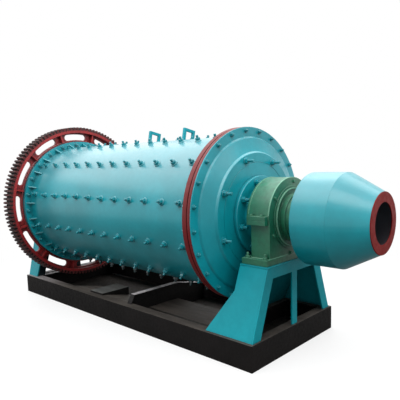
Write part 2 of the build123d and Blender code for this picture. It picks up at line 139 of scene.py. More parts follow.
# Materials
class Nodes:
    """Short calls for the nodes of one tree, on values that are sockets or numbers."""

    def __init__(self, tree):
        self.tree = tree

    def new(self, kind):
        return self.tree.nodes.new("ShaderNode" + kind)

    def feed(self, socket, value):
        if isinstance(value, bpy.types.NodeSocket):
            self.tree.links.new(value, socket)
        else:
            socket.default_value = value

    def step(self, value, low, high, to_low=0.0, to_high=1.0):
        """Carries low..high to to_low..to_high with soft ends, and holds it there."""
        node = self.new("MapRange")
        node.interpolation_type = "SMOOTHSTEP"
        node.clamp = True
        self.feed(node.inputs["Value"], value)
        node.inputs["From Min"].default_value = low
        node.inputs["From Max"].default_value = high
        node.inputs["To Min"].default_value = to_low
        node.inputs["To Max"].default_value = to_high
        return node.outputs["Result"]

    def work(self, operation, first, second=0.0):
        node = self.new("Math")
        node.operation = operation
        self.feed(node.inputs[0], first)
        self.feed(node.inputs[1], second)
        return node.outputs["Value"]

    def times(self, first, second):
        return self.work("MULTIPLY", first, second)

    def flat(self, kind, colour):
        """A shader of one linear colour."""
        node = self.new(kind)
        node.inputs["Color"].default_value = colour
        return node.outputs[0]

    def mixed(self, share, first, second):
        """The first shader, and the second one over it as far as its share."""
        node = self.new("MixShader")
        self.feed(node.inputs["Fac"], share)
        self.feed(node.inputs[1], first)
        self.feed(node.inputs[2], second)
        return node.outputs[0]

    def background_rays(self):
        """1 for the rays that show the background: straight, reflected or through glass."""
        rays = self.new("LightPath")
        shown = rays.outputs["Is Camera Ray"]
        for kind in ("Is Glossy Ray", "Is Transmission Ray"):
            shown = self.work("MAXIMUM", shown, rays.outputs[kind])
        return shown


class Paint(Nodes):
    """A material round one Principled shader, with patterns over the piece's coordinates."""

    def __init__(self, name, roughness, shine=0.5, coat=0.0):
        self.material = bpy.data.materials.new(name)
        self.material.use_nodes = True
        super().__init__(self.material.node_tree)
        self.shader = self.tree.nodes["Principled BSDF"]
        self.shader.inputs["Roughness"].default_value = roughness
        self.shader.inputs["Specular IOR Level"].default_value = shine
        self.shader.inputs["Coat Weight"].default_value = coat
        self.shader.inputs["Coat Roughness"].default_value = coat_roughness
        self.shader.inputs["Coat IOR"].default_value = coat_ior
        self.coordinates = self.new("TexCoord")

    def noise(self, scale, detail=4.0, roughness=0.55, stretch=(1, 1, 1)):
        """Noise that is finer along an axis with a larger stretch."""
        mapping = self.new("Mapping")
        mapping.inputs["Scale"].default_value = stretch
        self.feed(mapping.inputs["Vector"], self.coordinates.outputs["Object"])
        node = self.new("TexNoise")
        self.feed(node.inputs["Vector"], mapping.outputs["Vector"])
        node.inputs["Scale"].default_value = scale
        node.inputs["Detail"].default_value = detail
        node.inputs["Roughness"].default_value = roughness
        return node.outputs["Fac"]

    def blend(self, share, first, second):
        node = self.new("Mix")
        node.data_type = "RGBA"
        node.clamp_factor = True
        self.feed(node.inputs["Factor"], share)
        self.feed(node.inputs["A"], first)
        self.feed(node.inputs["B"], second)
        return node.outputs["Result"]

    def cover(self, under, share, colour):
        """Lays an sRGB colour over what is there, as far as its share."""
        return self.blend(share, under, linear(colour))

    def split(self, output):
        node = self.new("SeparateXYZ")
        self.feed(node.inputs["Vector"], self.coordinates.outputs[output])
        return node.outputs["X"], node.outputs["Y"], node.outputs["Z"]

    def crevice(self, distance):
        """Near 1 in the open, and lower in corners and beside bolts."""
        node = self.new("AmbientOcclusion")
        node.samples = 6
        node.inputs["Distance"].default_value = distance
        return node.outputs["AO"]

    def outwards(self):
        """1 on faces turned away from the mill's axis and 0 on faces turned towards it."""
        _, y, z = self.split("Object")
        _, normal_y, normal_z = self.split("Normal")
        lifted_z = self.work("SUBTRACT", z, axis_z)
        away = self.work("ADD", self.times(y, normal_y), self.times(lifted_z, normal_z))
        return self.step(away, -0.02, 0.0)

    def facing(self, direction):
        """1 on faces turned about that way, and 0 on the others."""
        node = self.new("VectorMath")
        node.operation = "DOT_PRODUCT"
        self.feed(node.inputs[0], self.coordinates.outputs["Normal"])
        node.inputs[1].default_value = direction
        return self.step(node.outputs["Value"], 0.45, 0.8)

    def radius(self):
        """Distance from the mill's axis."""
        _, y, z = self.split("Object")
        lifted_z = self.work("SUBTRACT", z, axis_z)
        return self.work("SQRT", self.work("ADD", self.times(y, y),
                                           self.times(lifted_z, lifted_z)))

    def finish(self, colours, roughness, height, distance):
        """Feeds the shader its colours and roughness, and bumps of that height."""
        self.feed(self.shader.inputs["Base Color"], colours)
        self.feed(self.shader.inputs["Roughness"], roughness)
        bump = self.new("Bump")
        bump.inputs["Strength"].default_value = 1.0
        bump.inputs["Distance"].default_value = distance
        self.feed(bump.inputs["Height"], height)
        self.feed(self.shader.inputs["Normal"], bump.outputs["Normal"])
        return self.material


def painted(name, colour, roughness, dust=0.25, grain=0.0006, shine=0.5, coat=0.0,
            blotches=0.16, faded=0.0, dark_inside=False, painted_shade_way=None, shade_below=None,
            worn_and_highlight_lean=None):
    """Sprayed machine paint: mottled, dusty where it lies level, with painted shade in its
    corners.

    blotches is the share of its fine darker spots, and faded how far it has paled on top.
    dark_inside darkens the faces towards the mill's axis, painted_shade_way paints shade on
    those turned that way, and shade_below paints shade on those under that height.
    worn_and_highlight_lean paints the slopes between a face that looks along the axis and a
    round one pale where their normal
    rises more than that: wear, and a painted highlight on the slopes that face up.
    """
    paint = Paint(name, roughness, shine, coat)
    normal_x, _, normal_z = paint.split("Normal")
    broad = paint.step(paint.noise(1.7, detail=3), 0.3, 0.7)
    fine = paint.step(paint.noise(23, detail=6, roughness=0.65), 0.35, 0.7)
    colours = paint.blend(broad, linear(shade(colour, 0.93)), linear(shade(colour, 1.05)))
    colours = paint.cover(colours, paint.times(fine, blotches), shade(colour, 0.80))
    skyward = paint.step(normal_z, 0.25, 0.75)
    colours = paint.cover(colours, paint.times(skyward, faded), faded_teal)
    level = paint.step(normal_z, 0.55, 0.98)
    settled = paint.times(level, paint.step(paint.noise(9, detail=8), 0.3, 0.75))
    dusty = tuple(0.55 * channel + 0.45 * grey for channel, grey in zip(colour, dust_grey))
    colours = paint.cover(colours, paint.times(settled, dust), dusty)
    # Painted shade, in streaks: darker in corners and beside bolts, by ambient occlusion.
    corner_shade = paint.step(paint.crevice(0.05), 0.35, 0.9, 0.55, 0.0)
    streaky = paint.step(paint.noise(14, detail=7), 0.25, 0.8, 0.55, 1.0)
    colours = paint.cover(colours, paint.times(corner_shade, streaky), shade(colour, 0.34))
    if dark_inside:
        colours = paint.blend(paint.outwards(), linear(inside_dark), colours)
    # Painted shade on the faces turned that way, in a mottled dark teal.
    if painted_shade_way is not None:
        shadowed = paint.blend(fine, linear(stand_shade_colour), linear(shade(stand_shade_colour, 0.4)))
        colours = paint.blend(paint.facing(painted_shade_way), colours, shadowed)
    # Pale slopes where the normal rises past the lean: wear, and a painted highlight on those
    # facing up.
    if worn_and_highlight_lean is not None:
        sloping = paint.times(
            paint.step(normal_x, 0.2, 0.35), paint.step(normal_x, 0.55, 0.7, 1.0, 0.0)
        )
        rising = paint.step(normal_z, worn_and_highlight_lean, worn_and_highlight_lean + 0.35, 0.0, 0.5)
        colours = paint.cover(colours, paint.times(sloping, rising), worn_and_highlight_teal)
    # Painted shade: darker under that height, as under the drum.
    if shade_below is not None:
        _, _, object_z = paint.split("Object")
        under_shade = paint.step(object_z, shade_below - 0.06, shade_below, 0.85, 0.0)
        colours = paint.cover(colours, under_shade, shade(colour, 0.2))
    rough = paint.step(fine, 0.0, 1.0, roughness - 0.05, roughness + 0.08)
    rough = paint.work("ADD", rough, paint.times(settled, 0.25))
    peel = paint.noise(160, detail=2)
    dents = paint.noise(5, detail=2)
    height = paint.work("ADD", paint.times(peel, 0.25), dents)
    return paint.finish(colours, rough, height, grain)


def black_base(name, dust_and_light_colour, cover, feed_share=0.75, shaded_y=None):
    """Black primer with dust on its level faces, paler towards the feed end by feed_share.

    cover is how much of it the dust hides, and what lies nearer than shaded_y is in shadow.
    """
    paint = Paint(name, 0.62, shine=0.22)
    broad = paint.step(paint.noise(2.3, detail=5), 0.3, 0.72)
    fine = paint.step(paint.noise(31, detail=8, roughness=0.7), 0.32, 0.72)
    colours = paint.blend(
        broad, linear(shade(base_black, 0.75)), linear(shade(base_black, 1.4))
    )
    _, _, normal_z = paint.split("Normal")
    level = paint.step(normal_z, 0.5, 0.95)
    swept = paint.step(paint.noise(7, detail=8, stretch=(0.35, 1.6, 1)), 0.3, 0.72)
    patchy = paint.step(paint.work("ADD", fine, swept), 0.2, 1.8, 0.45, 1.0)
    settled = paint.times(paint.times(level, patchy), cover)
    along, across, _ = paint.split("Object")
    feed_end = paint.step(along, -2.3, -1.2, feed_share, 0.0)
    dust = paint.blend(feed_end, linear(dust_and_light_colour), linear(ledge_dust_and_light))
    colours = paint.blend(settled, colours, dust)
    scuffs = paint.step(paint.noise(11, detail=9, roughness=0.75), 0.62, 0.78, 0.0, 0.14)
    colours = paint.cover(colours, scuffs, scuff_brown)
    if shaded_y is not None:
        shaded = paint.step(across, shaded_y - 0.012, shaded_y + 0.012, 0.85, 0.0)
        colours = paint.cover(colours, shaded, shade(base_black, 0.6))
    rough = paint.step(fine, 0.0, 1.0, 0.5, 0.75)
    height = paint.work("ADD", paint.noise(70, detail=5), paint.noise(6, detail=2))
    return paint.finish(colours, rough, height, 0.0005)


def gear_paint():
    """Red casting, with grease between its teeth and on their ends, from a radius on."""
    grease_start = 0.966
    paint = Paint("gear_red", 0.42)
    broad = paint.step(paint.noise(3, detail=4), 0.3, 0.7)
    fine = paint.step(paint.noise(42, detail=7, roughness=0.7), 0.35, 0.72)
    colours = paint.blend(broad, linear(shade(gear_red, 0.88)), linear(shade(gear_red, 1.12)))
    colours = paint.cover(colours, paint.times(fine, 0.35), shade(gear_red, 0.55))
    # Painted shade: a dark red brown in the gear's corners and recesses, by ambient occlusion.
    corner_shade = paint.step(paint.crevice(0.07), 0.3, 0.85, 0.7, 0.0)
    colours = paint.cover(colours, corner_shade, gear_corner_shade)
    normal_x, _, _ = paint.split("Normal")
    flank = paint.step(paint.work("ABSOLUTE", normal_x), 0.55, 0.9, 1.0, 0.0)
    reach = paint.radius()
    between = paint.times(flank, paint.step(reach, grease_start, grease_start + 0.014))
    ends = paint.step(reach, grease_start + 0.009, grease_start + 0.022, 0.0, 0.85)
    smear = paint.step(paint.noise(38, detail=6), 0.3, 0.6, 0.72, 1.0)
    greased = paint.times(paint.work("MAXIMUM", between, ends), smear)
    colours = paint.cover(colours, greased, tooth_grease)
    rough = paint.step(fine, 0.0, 1.0, 0.34, 0.55)
    rough = paint.work("ADD", rough, paint.times(greased, 0.32))
    height = paint.work("ADD", paint.noise(120, detail=4), paint.noise(14, detail=3))
    return paint.finish(colours, rough, height, 0.0010)


def rubber():
    """The gasket's black rubber."""
    roughness = 0.75
    paint = Paint("gasket_rubber", roughness)
    fine = paint.step(paint.noise(60, detail=6), 0.3, 0.7)
    colours = paint.blend(
        fine, linear(shade(rubber_black, 0.8)), linear(shade(rubber_black, 1.4))
    )
    return paint.finish(colours, roughness, fine, 0.0006)


shell_teal = painted(
    "shell_teal", teal, 0.5, dust=0.12, shine=0.05, coat=1.0, faded=0.6
)
barrel_teal = painted(
    "barrel_teal", teal, 0.5, dust=0.1, grain=0.0003, shine=0.05, coat=1.0, faded=0.4,
    dark_inside=True,
)
# Heads and trunnions: pale slopes that face up, partly a painted highlight.
cast_teal = painted(
    "cast_teal", teal_cast, 0.34, dust=0.4, grain=0.0014, shine=0.3, coat=0.35, worn_and_highlight_lean=0.05
)
# Gussets: pale slopes all round, as wear and a painted highlight on their edges.
gusset_teal = painted(
    "gusset_teal", teal, 0.42, dust=0.05, shine=0.3, coat=0.6, worn_and_highlight_lean=-2.0
)
plate_teal = painted("plate_teal", teal, 0.42, dust=0.2, shine=0.3)
# Teal darkened as painted shade, for the back plate seen inside the stand's windows.
shaded_inner_teal = painted("shaded_inner_teal", shade(teal, 0.72), 0.5, dust=0.2, shine=0.2)
# The feed stand's back plate, with painted shade on its faces turned towards +X.
shadow_teal = painted("shadow_teal", teal, 0.42, dust=0.2, shine=0.3, painted_shade_way=(1, 0, 0))
bolt_teal = painted("bolt_teal", shade(teal, 0.92), 0.26, dust=0.15, grain=0.0008, shine=0.8)
# Liner bolts with painted shade on those low under the drum.
liner_bolt_teal = painted(
    "liner_bolt_teal", shade(teal, 0.92), 0.26, dust=0.15, grain=0.0008, shine=0.8,
    shade_below=0.60,
)
lip_red = painted("lip_red", gear_red, 0.24, dust=0.0, grain=0.0004, shine=0.9, coat=1.0)
red_flange = painted("red_flange", flange_red, 0.42, dust=0.2, grain=0.0008, shine=0.35)
red_mouth = painted("red_mouth", mouth_red, 0.5, dust=0.15, grain=0.0008, shine=0.15)
cast_green = painted(
    "cast_green", bearing_green, 0.38, dust=0.7, grain=0.0022, shine=0.6, coat=0.4,
    blotches=0.9,
)
# The bearing bolts' green, made paler as a painted highlight on their heads.
bolt_green = painted("bolt_green", bolt_green_and_highlight, 0.34, dust=0.4, grain=0.0008)
# Pale green for rims and seams: wear, and a painted highlight along their edges.
pale_green = painted("pale_green", worn_and_highlight_green, 0.45, dust=0.3, grain=0.0008)
gear_material = gear_paint()
base_material = black_base("base_black", base_dust, 0.66)
deck_material = black_base("deck_dust", base_dust, 0.95)
bay_material = black_base("bay_dust", base_dust, 0.8, shaded_y=-0.327)
floor_material = black_base("floor_dust", base_dust, 0.3, feed_share=0.0)
pad_material = black_base("pad_dust", pad_dust, 0.9)
# The cross wall's level tops: near-white dust that is partly a painted pool of light.
ledge_material = black_base("ledge_dust_and_light", ledge_dust_and_light, 1.0)
rubber_material = rubber()


# Dressing the CAD nodes
def dress(name, material, bevel=0.002, segments=2):
    """Gives a CAD node its material, smooth normals and small rounded edges."""
    same_point = 0.00002
    flat_angle = 0.8
    edge_angle = 32.0
    node = nodes[name]
    for material_slot in node.material_slots:
        material_slot.material = material
    normals = node.data.attributes.get("custom_normal")
    if normals is not None:
        node.data.attributes.remove(normals)
    node.data.shade_smooth()
    weld = node.modifiers.new("weld", "WELD")
    weld.merge_threshold = same_point
    flat = node.modifiers.new("flat", "DECIMATE")
    flat.decimate_type = "DISSOLVE"
    flat.angle_limit = math.radians(flat_angle)
    edges = node.modifiers.new("edges", "BEVEL")
    edges.width = bevel
    edges.segments = segments
    edges.limit_method = "ANGLE"
    edges.angle_limit = math.radians(edge_angle)
    edges.use_clamp_overlap = True
    soft = node.modifiers.new("soft", "WEIGHTED_NORMAL")
    soft.weight = 80
    soft.keep_sharp = False


# Mesh patterns: points with faces that can be stamped many times into one piece
def pattern(points, faces):
    """A small mesh as points and faces, with its faces turned outwards."""
    mesh = bmesh.new()
    corners = [mesh.verts.new(point) for point in points]
    for face in faces:
        mesh.faces.new([corners[i] for i in face])
    bmesh.ops.recalc_face_normals(mesh, faces=mesh.faces)
    mesh.verts.index_update()
    turned = [[corner.index for corner in face.verts] for face in mesh.faces]
    mesh.free()
    return np.array(points, float), turned


def ring(number, count):
    """The point numbers of one ring, where each ring has as many points."""
    return list(range(number * count, (number + 1) * count))


def band(lower, upper):
    """The faces between two rings."""
    count = len(lower)
    faces = []
    for k in range(count):
        after = (k + 1) % count
        faces.append([lower[k], lower[after], upper[after], upper[k]])
    return faces


def spun(outline, sides):
    """An outline of (radius, height) points turned about Z; a radius of 0 ends it in a pole."""
    points = []
    rings = []
    for radius, height in outline:
        start = len(points)
        if radius == 0:
            points.append((0, 0, height))
            rings.append([start] * sides)
            continue
        for k in range(sides):
            turn = 2 * math.pi * k / sides
            points.append((radius * math.cos(turn), radius * math.sin(turn), height))
        rings.append(list(range(start, start + sides)))
    faces = []
    for lower, upper in zip(rings, rings[1:]):
        faces += [list(dict.fromkeys(face)) for face in band(lower, upper)]
    return pattern(points, faces)


def hexagon(across, height, bore=0.0, sides=24):
    """A nut with chamfered corners, from z = 0, across its flats."""
    points = []
    half = across / 2
    for level in range(4):
        for k in range(sides):
            turn = 2 * math.pi * k / sides
            off = (turn + math.pi / 6) % (math.pi / 3) - math.pi / 6
            reach = half / math.cos(off)
            chamfer = (reach - half) * 0.6 + 0.0006
            if level == 0:
                radius, z = reach, 0.0
            elif level == 1:
                radius, z = reach, height - chamfer
            elif level == 2:
                radius, z = half * 0.97, height
            else:
                radius, z = bore, height
            points.append((radius * math.cos(turn), radius * math.sin(turn), z))
    faces = []
    for level in range(3):
        faces += band(ring(level, sides), ring(level + 1, sides))
    return pattern(points, faces)


def stud(radius, start, end, pitch, sides=12):
    """A threaded end: grooved rings and a chamfered tip."""
    outline = [(radius, start)]
    z = start
    while z + pitch < end - pitch:
        outline.append((radius, z + 0.45 * pitch))
        outline.append((radius * 0.90, z + 0.75 * pitch))
        outline.append((radius, z + 1.0 * pitch))
        z += pitch
    outline += [(radius, end - 0.5 * pitch), (radius * 0.82, end), (0, end)]
    return spun(outline, sides)


def washer(radius, bore, edge, top, chamfer=0.002, sunk=0.002, sides=20):
    """A washer with a chamfered upper edge, sunk a little into the face under it."""
    return spun([(radius, -sunk), (radius, edge), (radius - chamfer, top), (bore, top)], sides)


def lifted(shape, height):
    """A pattern moved up its own Z."""
    points, faces = shape
    return points + np.array((0, 0, height)), faces


def joined(*shapes):
    """Several patterns as one."""
    points = []
    faces = []
    count = 0
    for shape_points, shape_faces in shapes:
        points.append(shape_points)
        faces += [[i + count for i in face] for face in shape_faces]
        count += len(shape_points)
    return np.concatenate(points), faces


def piece(name, shape, material, body, sharp=35.0):
    """One shown object from a pattern, smooth but for its sharp edges."""
    points, faces = shape
    mesh = bpy.data.meshes.new(name)
    mesh.from_pydata(points.tolist(), [], faces)
    mesh.materials.append(material)
    mesh.shade_smooth()
    mesh.set_sharp_from_angle(angle=math.radians(sharp))
    made = bpy.data.objects.new(name, mesh)
    bpy.context.scene.collection.objects.link(made)
    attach(made, body)
    return made


def stamped(shape, places):
    """Copies of one pattern at each place, as one pattern."""
    points, faces = shape
    wide = np.concatenate([points, np.ones((len(points), 1))], axis=1)
    copies = []
    for place in places:
        copies.append(((np.array(place) @ wide.T).T[:, :3], faces))
    return joined(*copies)


def standing(position, direction, twist=0.0):
    """The place of a pattern that stands at position with its Z along direction."""
    z = Vector(direction).normalized()
    side = Vector((1, 0, 0)) if abs(z.x) < 0.9 else Vector((0, 1, 0))
    y = z.cross(side).normalized()
    x = y.cross(z)
    turn = Matrix((x, y, z)).transposed() @ Matrix.Rotation(twist, 3, "Z")
    place = turn.to_4x4()
    place.translation = Vector(position)
    return place


def tightened(position, direction):
    """The place of a bolt or nut that was tightened to no special angle."""
    return standing(position, direction, chance.uniform(0, math.pi))


def on_circle(x, radius, turn):
    """A point at a distance from the mill's axis, with its turn in radians."""
    return (x, radius * math.cos(turn), axis_z + radius * math.sin(turn))


def round_axis(x, radius, angle):
    """A point at a distance from the mill's axis; 0 degrees is the far side, 90 the top."""
    return on_circle(x, radius, math.radians(angle))


def outward(angle):
    """The direction that looks away from the mill's axis at an angle."""
    turn = math.radians(angle)
    return (0, math.cos(turn), math.sin(turn))


def rounded(corners, steps=5):
    """An outline of (x, radius, fillet) corners with an arc in each corner that has one."""
    out = []
    count = len(corners)
    for k in range(count):
        x, r, fillet = corners[k]
        if fillet == 0:
            out.append((x, r))
            continue
        here = Vector((x, r))
        before = Vector(corners[k - 1][:2]) - here
        after = Vector(corners[(k + 1) % count][:2]) - here
        half = before.angle(after) / 2
        reach = fillet / math.tan(half)
        reach = min(reach, before.length * 0.49, after.length * 0.49)
        fillet = reach * math.tan(half)
        start = here + before.normalized() * reach
        end = here + after.normalized() * reach
        inwards = (before.normalized() + after.normalized()).normalized()
        middle = here + inwards * (fillet / math.sin(half))
        first = start - middle
        last = end - middle
        for step in range(steps + 1):
            spoke = first.lerp(last, step / steps).normalized() * fillet
            out.append(tuple(middle + spoke))
    return out


def lathe(outline, sides, start_x=0.0, way=1.0):
    """A closed outline of (x, radius) turned about the mill's axis."""
    points = []
    for x, radius in outline:
        for k in range(sides):
            points.append(on_circle(start_x + way * x, radius, 2 * math.pi * k / sides))
    count = len(outline)
    faces = []
    for level in range(count):
        faces += band(ring(level, sides), ring((level + 1) % count, sides))
    return pattern(points, faces)


def arc_band(outline, first, last, steps=72):
    """A closed outline of (x, radius) carried round the mill's axis between two angles."""
    points = []
    for k in range(steps + 1):
        turn = math.radians(first + (last - first) * k / steps)
        for x, radius in outline:
            points.append(on_circle(x, radius, turn))
    count = len(outline)
    faces = [ring(0, count), ring(steps, count)]
    for k in range(steps):
        faces += band(ring(k, count), ring(k + 1, count))
    return pattern(points, faces)


def weld_swell(size, k):
    """A weld pass's thickness: every second one fuller, and each a little by chance."""
    return size * (1.0 + 0.14 * (k % 2) + 0.10 * chance.random())


def bead(x, radius, size, ripples=260):
    """A weld bead round the mill's axis, with the small ripples of its passes."""
    around = 6
    count = ripples * 2
    points = []
    for k in range(count):
        turn = 2 * math.pi * k / count
        swell = weld_swell(size, k)
        for j in range(around):
            lean = 2 * math.pi * j / around
            points.append(
                on_circle(x + swell * math.cos(lean), radius + swell * math.sin(lean), turn)
            )
    faces = []
    for k in range(count):
        faces += band(ring(k, around), ring((k + 1) % count, around))
    return pattern(points, faces)


def run_bead(start, end, size):
    """A straight weld bead between two points."""
    pass_length = 0.006
    first = Vector(start)
    last = Vector(end)
    length = (last - first).length
    count = max(2, int(length / pass_length))
    outline = [(0, 0)]
    for k in range(count + 1):
        outline.append((weld_swell(size, k), length * k / count))
    outline.append((0, length))
    return stamped(spun(outline, 6), [standing(first, last - first)])


# Drum: shell, flanges and gear
dress("drum_shell", shell_teal, bevel=0.003)
dress("drum_flange_feed", gusset_teal, bevel=0.0025)
dress("drum_flange_discharge", red_flange, bevel=0.004)
dress("head_gasket", rubber_material, bevel=0.002)
dress("drum_handles", plate_teal, bevel=0.003)
dress("ring_gear", gear_material, bevel=0.0018, segments=1)

lip_inner = 0.8380
lip_outer = 0.8490
lip_corners = [
    (-0.0085, lip_inner, 0),
    (-0.0085, lip_outer, 0.004),
    (0.0018, lip_outer, 0.004),
    (0.0018, lip_inner, 0.002),
]
lip = lathe(rounded(lip_corners), large_round, shell_feed_x)
piece("gear_lip", lip, lip_red, "mill", sharp=60)

# Liner bolts, in rows along the shell, each a nut and a stud on a cup
cup_corners = [(0.034, -0.004), (0.034, 0.003), (0.031, 0.007), (0.026, 0.010), (0.016, 0.011)]
liner_bolt = joined(
    spun(cup_corners, 24),
    lifted(hexagon(0.044, 0.024, 0.0125), 0.010),
    stud(0.013, 0.033, 0.060, 0.004),
)
row_count = 12
bolt_count = 12
first_row_angle = 18.4
first_bolt_x = -1.6805
bolt_pitch = 0.2412
bolt_drift = 0.004
row_drift = 0.3
liner_places = []
for row in range(row_count):
    angle = first_row_angle + row * 360 / row_count
    for k in range(bolt_count):
        x = first_bolt_x + bolt_pitch * k + chance.uniform(-bolt_drift, bolt_drift)
        at = round_axis(x, shell_radius, angle + chance.uniform(-row_drift, row_drift))
        liner_places.append(tightened(at, outward(angle)))
piece("liner_bolts", stamped(liner_bolt, liner_places), liner_bolt_teal, "mill")

# Nuts on the back of the drum's flanges, and welds along the flanges and gussets
flange_count = 24
flange_step = 360 / flange_count
feed_nut_radius = 0.790
feed_nut_angle = 4.5
rim_bolt_radius = 0.795
rim_bolt_angle = 5.5
gusset_angle = 12
gusset_weld_start = 0.052
gusset_weld_end = 0.158
flange_nut = joined(
    washer(0.026, 0.012, 0.003, 0.004),
    lifted(hexagon(0.036, 0.018, 0.011), 0.004),
    stud(0.011, 0.020, 0.034, 0.004),
)
feed_back_x = shell_feed_x + drum_flange_thickness
discharge_back_x = shell_discharge_x - drum_flange_thickness
nut_places = []
for k in range(flange_count):
    at = round_axis(feed_back_x, feed_nut_radius, feed_nut_angle + flange_step * k)
    nut_places.append(tightened(at, (1, 0, 0)))
    at = round_axis(discharge_back_x, rim_bolt_radius, rim_bolt_angle + flange_step * k)
    nut_places.append(tightened(at, (-1, 0, 0)))
piece("flange_nuts", stamped(flange_nut, nut_places), bolt_teal, "mill")

welds = [
    bead(feed_back_x, shell_radius, 0.005),
    bead(discharge_back_x, shell_radius, 0.005),
]
gusset_lean = math.degrees(gusset_half / shell_radius)
for k in range(flange_count):
    for side in (-1, 1):
        angle = gusset_angle + flange_step * k + side * gusset_lean
        start = round_axis(shell_feed_x + gusset_weld_start, shell_radius, angle)
        end = round_axis(shell_feed_x + gusset_weld_end, shell_radius, angle)
        welds.append(run_bead(start, end, 0.0035))
piece("drum_welds", joined(*welds), plate_teal, "mill")

# Heads and trunnions, replaced by turned castings with rounded steps
head_corners = [
    (head_back, 0.230, 0),
    (head_back, head_radius, 0.001),
    (0.000, head_radius, 0.003),
    (0.000, 0.738, 0.003),
    (0.018, 0.724, 0.022),
    (0.061, 0.598, 0.010),
    (head_boss_face, 0.583, 0.006),
    (head_boss_face, 0.499, 0),
    (head_boss_face - 0.003, 0.498, 0),
    (head_boss_face - 0.003, 0.495, 0),
    (head_boss_face, 0.494, 0),
    (head_boss_face, 0.230, 0),
    (0.021, 0.230, 0),
    (0.021, 0.474, 0.01),
    (head_back, 0.673, 0),
]
head_rim_corners = [
    (-0.0415, head_radius - 0.001, 0),
    (-0.0415, head_radius + 0.0015, 0.001),
    (-0.0090, head_radius + 0.0015, 0.001),
    (-0.0090, head_radius - 0.001, 0),
]
trunnion_ends = {
    "discharge": [
        (barrel_back - 0.024, neck_radius, 0.01),
        (barrel_back - 0.024, 0.245, 0.002),
        (barrel_back, 0.245, 0),
        (barrel_back, trunnion_bore_radius, 0),
    ],
    "feed": [
        (0.529, neck_radius, 0.004),
        (0.529, 0.205, 0.003),
        (0.549, 0.205, 0.004),
        (0.549, trunnion_bore_radius, 0.003),
    ],
}
for end, (face_x, way) in face_of_end.items():
    head = lathe(rounded(head_corners), large_round, face_x, way)
    made = piece(end + "_head_casting", head, cast_teal, "mill", sharp=50)
    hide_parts(end + "_head")
    rim = lathe(rounded(head_rim_corners, steps=3), large_round, face_x, way)
    piece(end + "_head_rim", rim, red_flange, "mill", sharp=50)

    trunnion_corners = [
        (0.021, trunnion_bore_radius, 0),
        (0.021, 0.229, 0),
        (head_boss_face, 0.229, 0),
        (head_boss_face, trunnion_flange_radius, 0.002),
        (trunnion_face, trunnion_flange_radius, 0.006),
        (trunnion_face, 0.262, 0.03),
        (trunnion_face + 0.066, journal_radius, 0.05),
        (neck_start[end], journal_radius, 0.002),
        (neck_start[end], neck_radius, 0),
        *trunnion_ends[end],
    ]
    trunnion = lathe(rounded(trunnion_corners), small_round, face_x, way)
    made = piece(
        end + "_trunnion_casting", trunnion, cast_teal, "mill", sharp=50
    )
    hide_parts(end + "_trunnion")

# Bolts on the faces of the heads and trunnions
rim_bolt = joined(
    washer(0.022, 0.010, 0.003, 0.004),
    lifted(hexagon(0.031, 0.016, 0.0095), 0.004),
    stud(0.0095, 0.018, 0.032, 0.004),
)
head_stud = joined(
    washer(0.032, 0.014, 0.004, 0.006, chamfer=0.003, sunk=0.003),
    lifted(hexagon(0.046, 0.026, 0.014), 0.006),
    stud(0.0135, 0.030, 0.092, 0.005),
)
trunnion_bolt = joined(
    washer(0.033, 0.015, 0.004, 0.005, sunk=0.003),
    lifted(hexagon(0.048, 0.028, 0.015), 0.005),
    stud(0.0155, 0.032, 0.075, 0.005),
)
boss_bolt_count = 8
boss_bolt_step = 360 / boss_bolt_count
head_stud_radius = 0.540
head_stud_angle = 20
trunnion_bolt_radius = 0.320
trunnion_bolt_angle = 15
head_places = []
stud_places = []
trunnion_places = []
for end, (face_x, way) in face_of_end.items():
    direction = (way, 0, 0)
    for k in range(flange_count):
        at = round_axis(face_x, rim_bolt_radius, rim_bolt_angle + flange_step * k)
        head_places.append(tightened(at, direction))
    for k in range(boss_bolt_count):
        turned = boss_bolt_step * k
        boss_x = face_x + way * head_boss_face
        at = round_axis(boss_x, head_stud_radius, head_stud_angle + turned)
        stud_places.append(tightened(at, direction))
        flange_x = face_x + way * trunnion_face
        at = round_axis(flange_x, trunnion_bolt_radius, trunnion_bolt_angle + turned)
        trunnion_places.append(tightened(at, direction))
piece("head_rim_bolts", stamped(rim_bolt, head_places), bolt_teal, "mill")
piece("head_studs", stamped(head_stud, stud_places), bolt_teal, "mill")
piece(
    "trunnion_bolts", stamped(trunnion_bolt, trunnion_places), bolt_teal, "mill"
)

# Discharge barrel
dress("discharge_barrel", barrel_teal, bevel=0.003)
dress("discharge_cone", barrel_teal, bevel=0.002)
dress("discharge_mouth_ring", red_mouth, bevel=0.002)

# Bearings and stands
for end in face_of_end:
    dress(end + "_bearing_base", cast_green, bevel=0.006, segments=3)
    dress(end + "_bearing_cap", cast_green, bevel=0.006, segments=3)
    dress(end + "_bearing_outer_cover", cast_green, bevel=0.003)
    dress(end + "_bearing_inner_cover", cast_green, bevel=0.003)
    dress(end + "_stand_front_frame", plate_teal, bevel=0.002)
    dress(end + "_stand_top_plate", plate_teal, bevel=0.002)
    dress(end + "_stand_side_near", plate_teal, bevel=0.002)
    dress(end + "_stand_side_far", plate_teal, bevel=0.002)
dress("discharge_stand_back_plate", shaded_inner_teal, bevel=0.002)
dress("feed_stand_back_plate", shadow_teal, bevel=0.002)

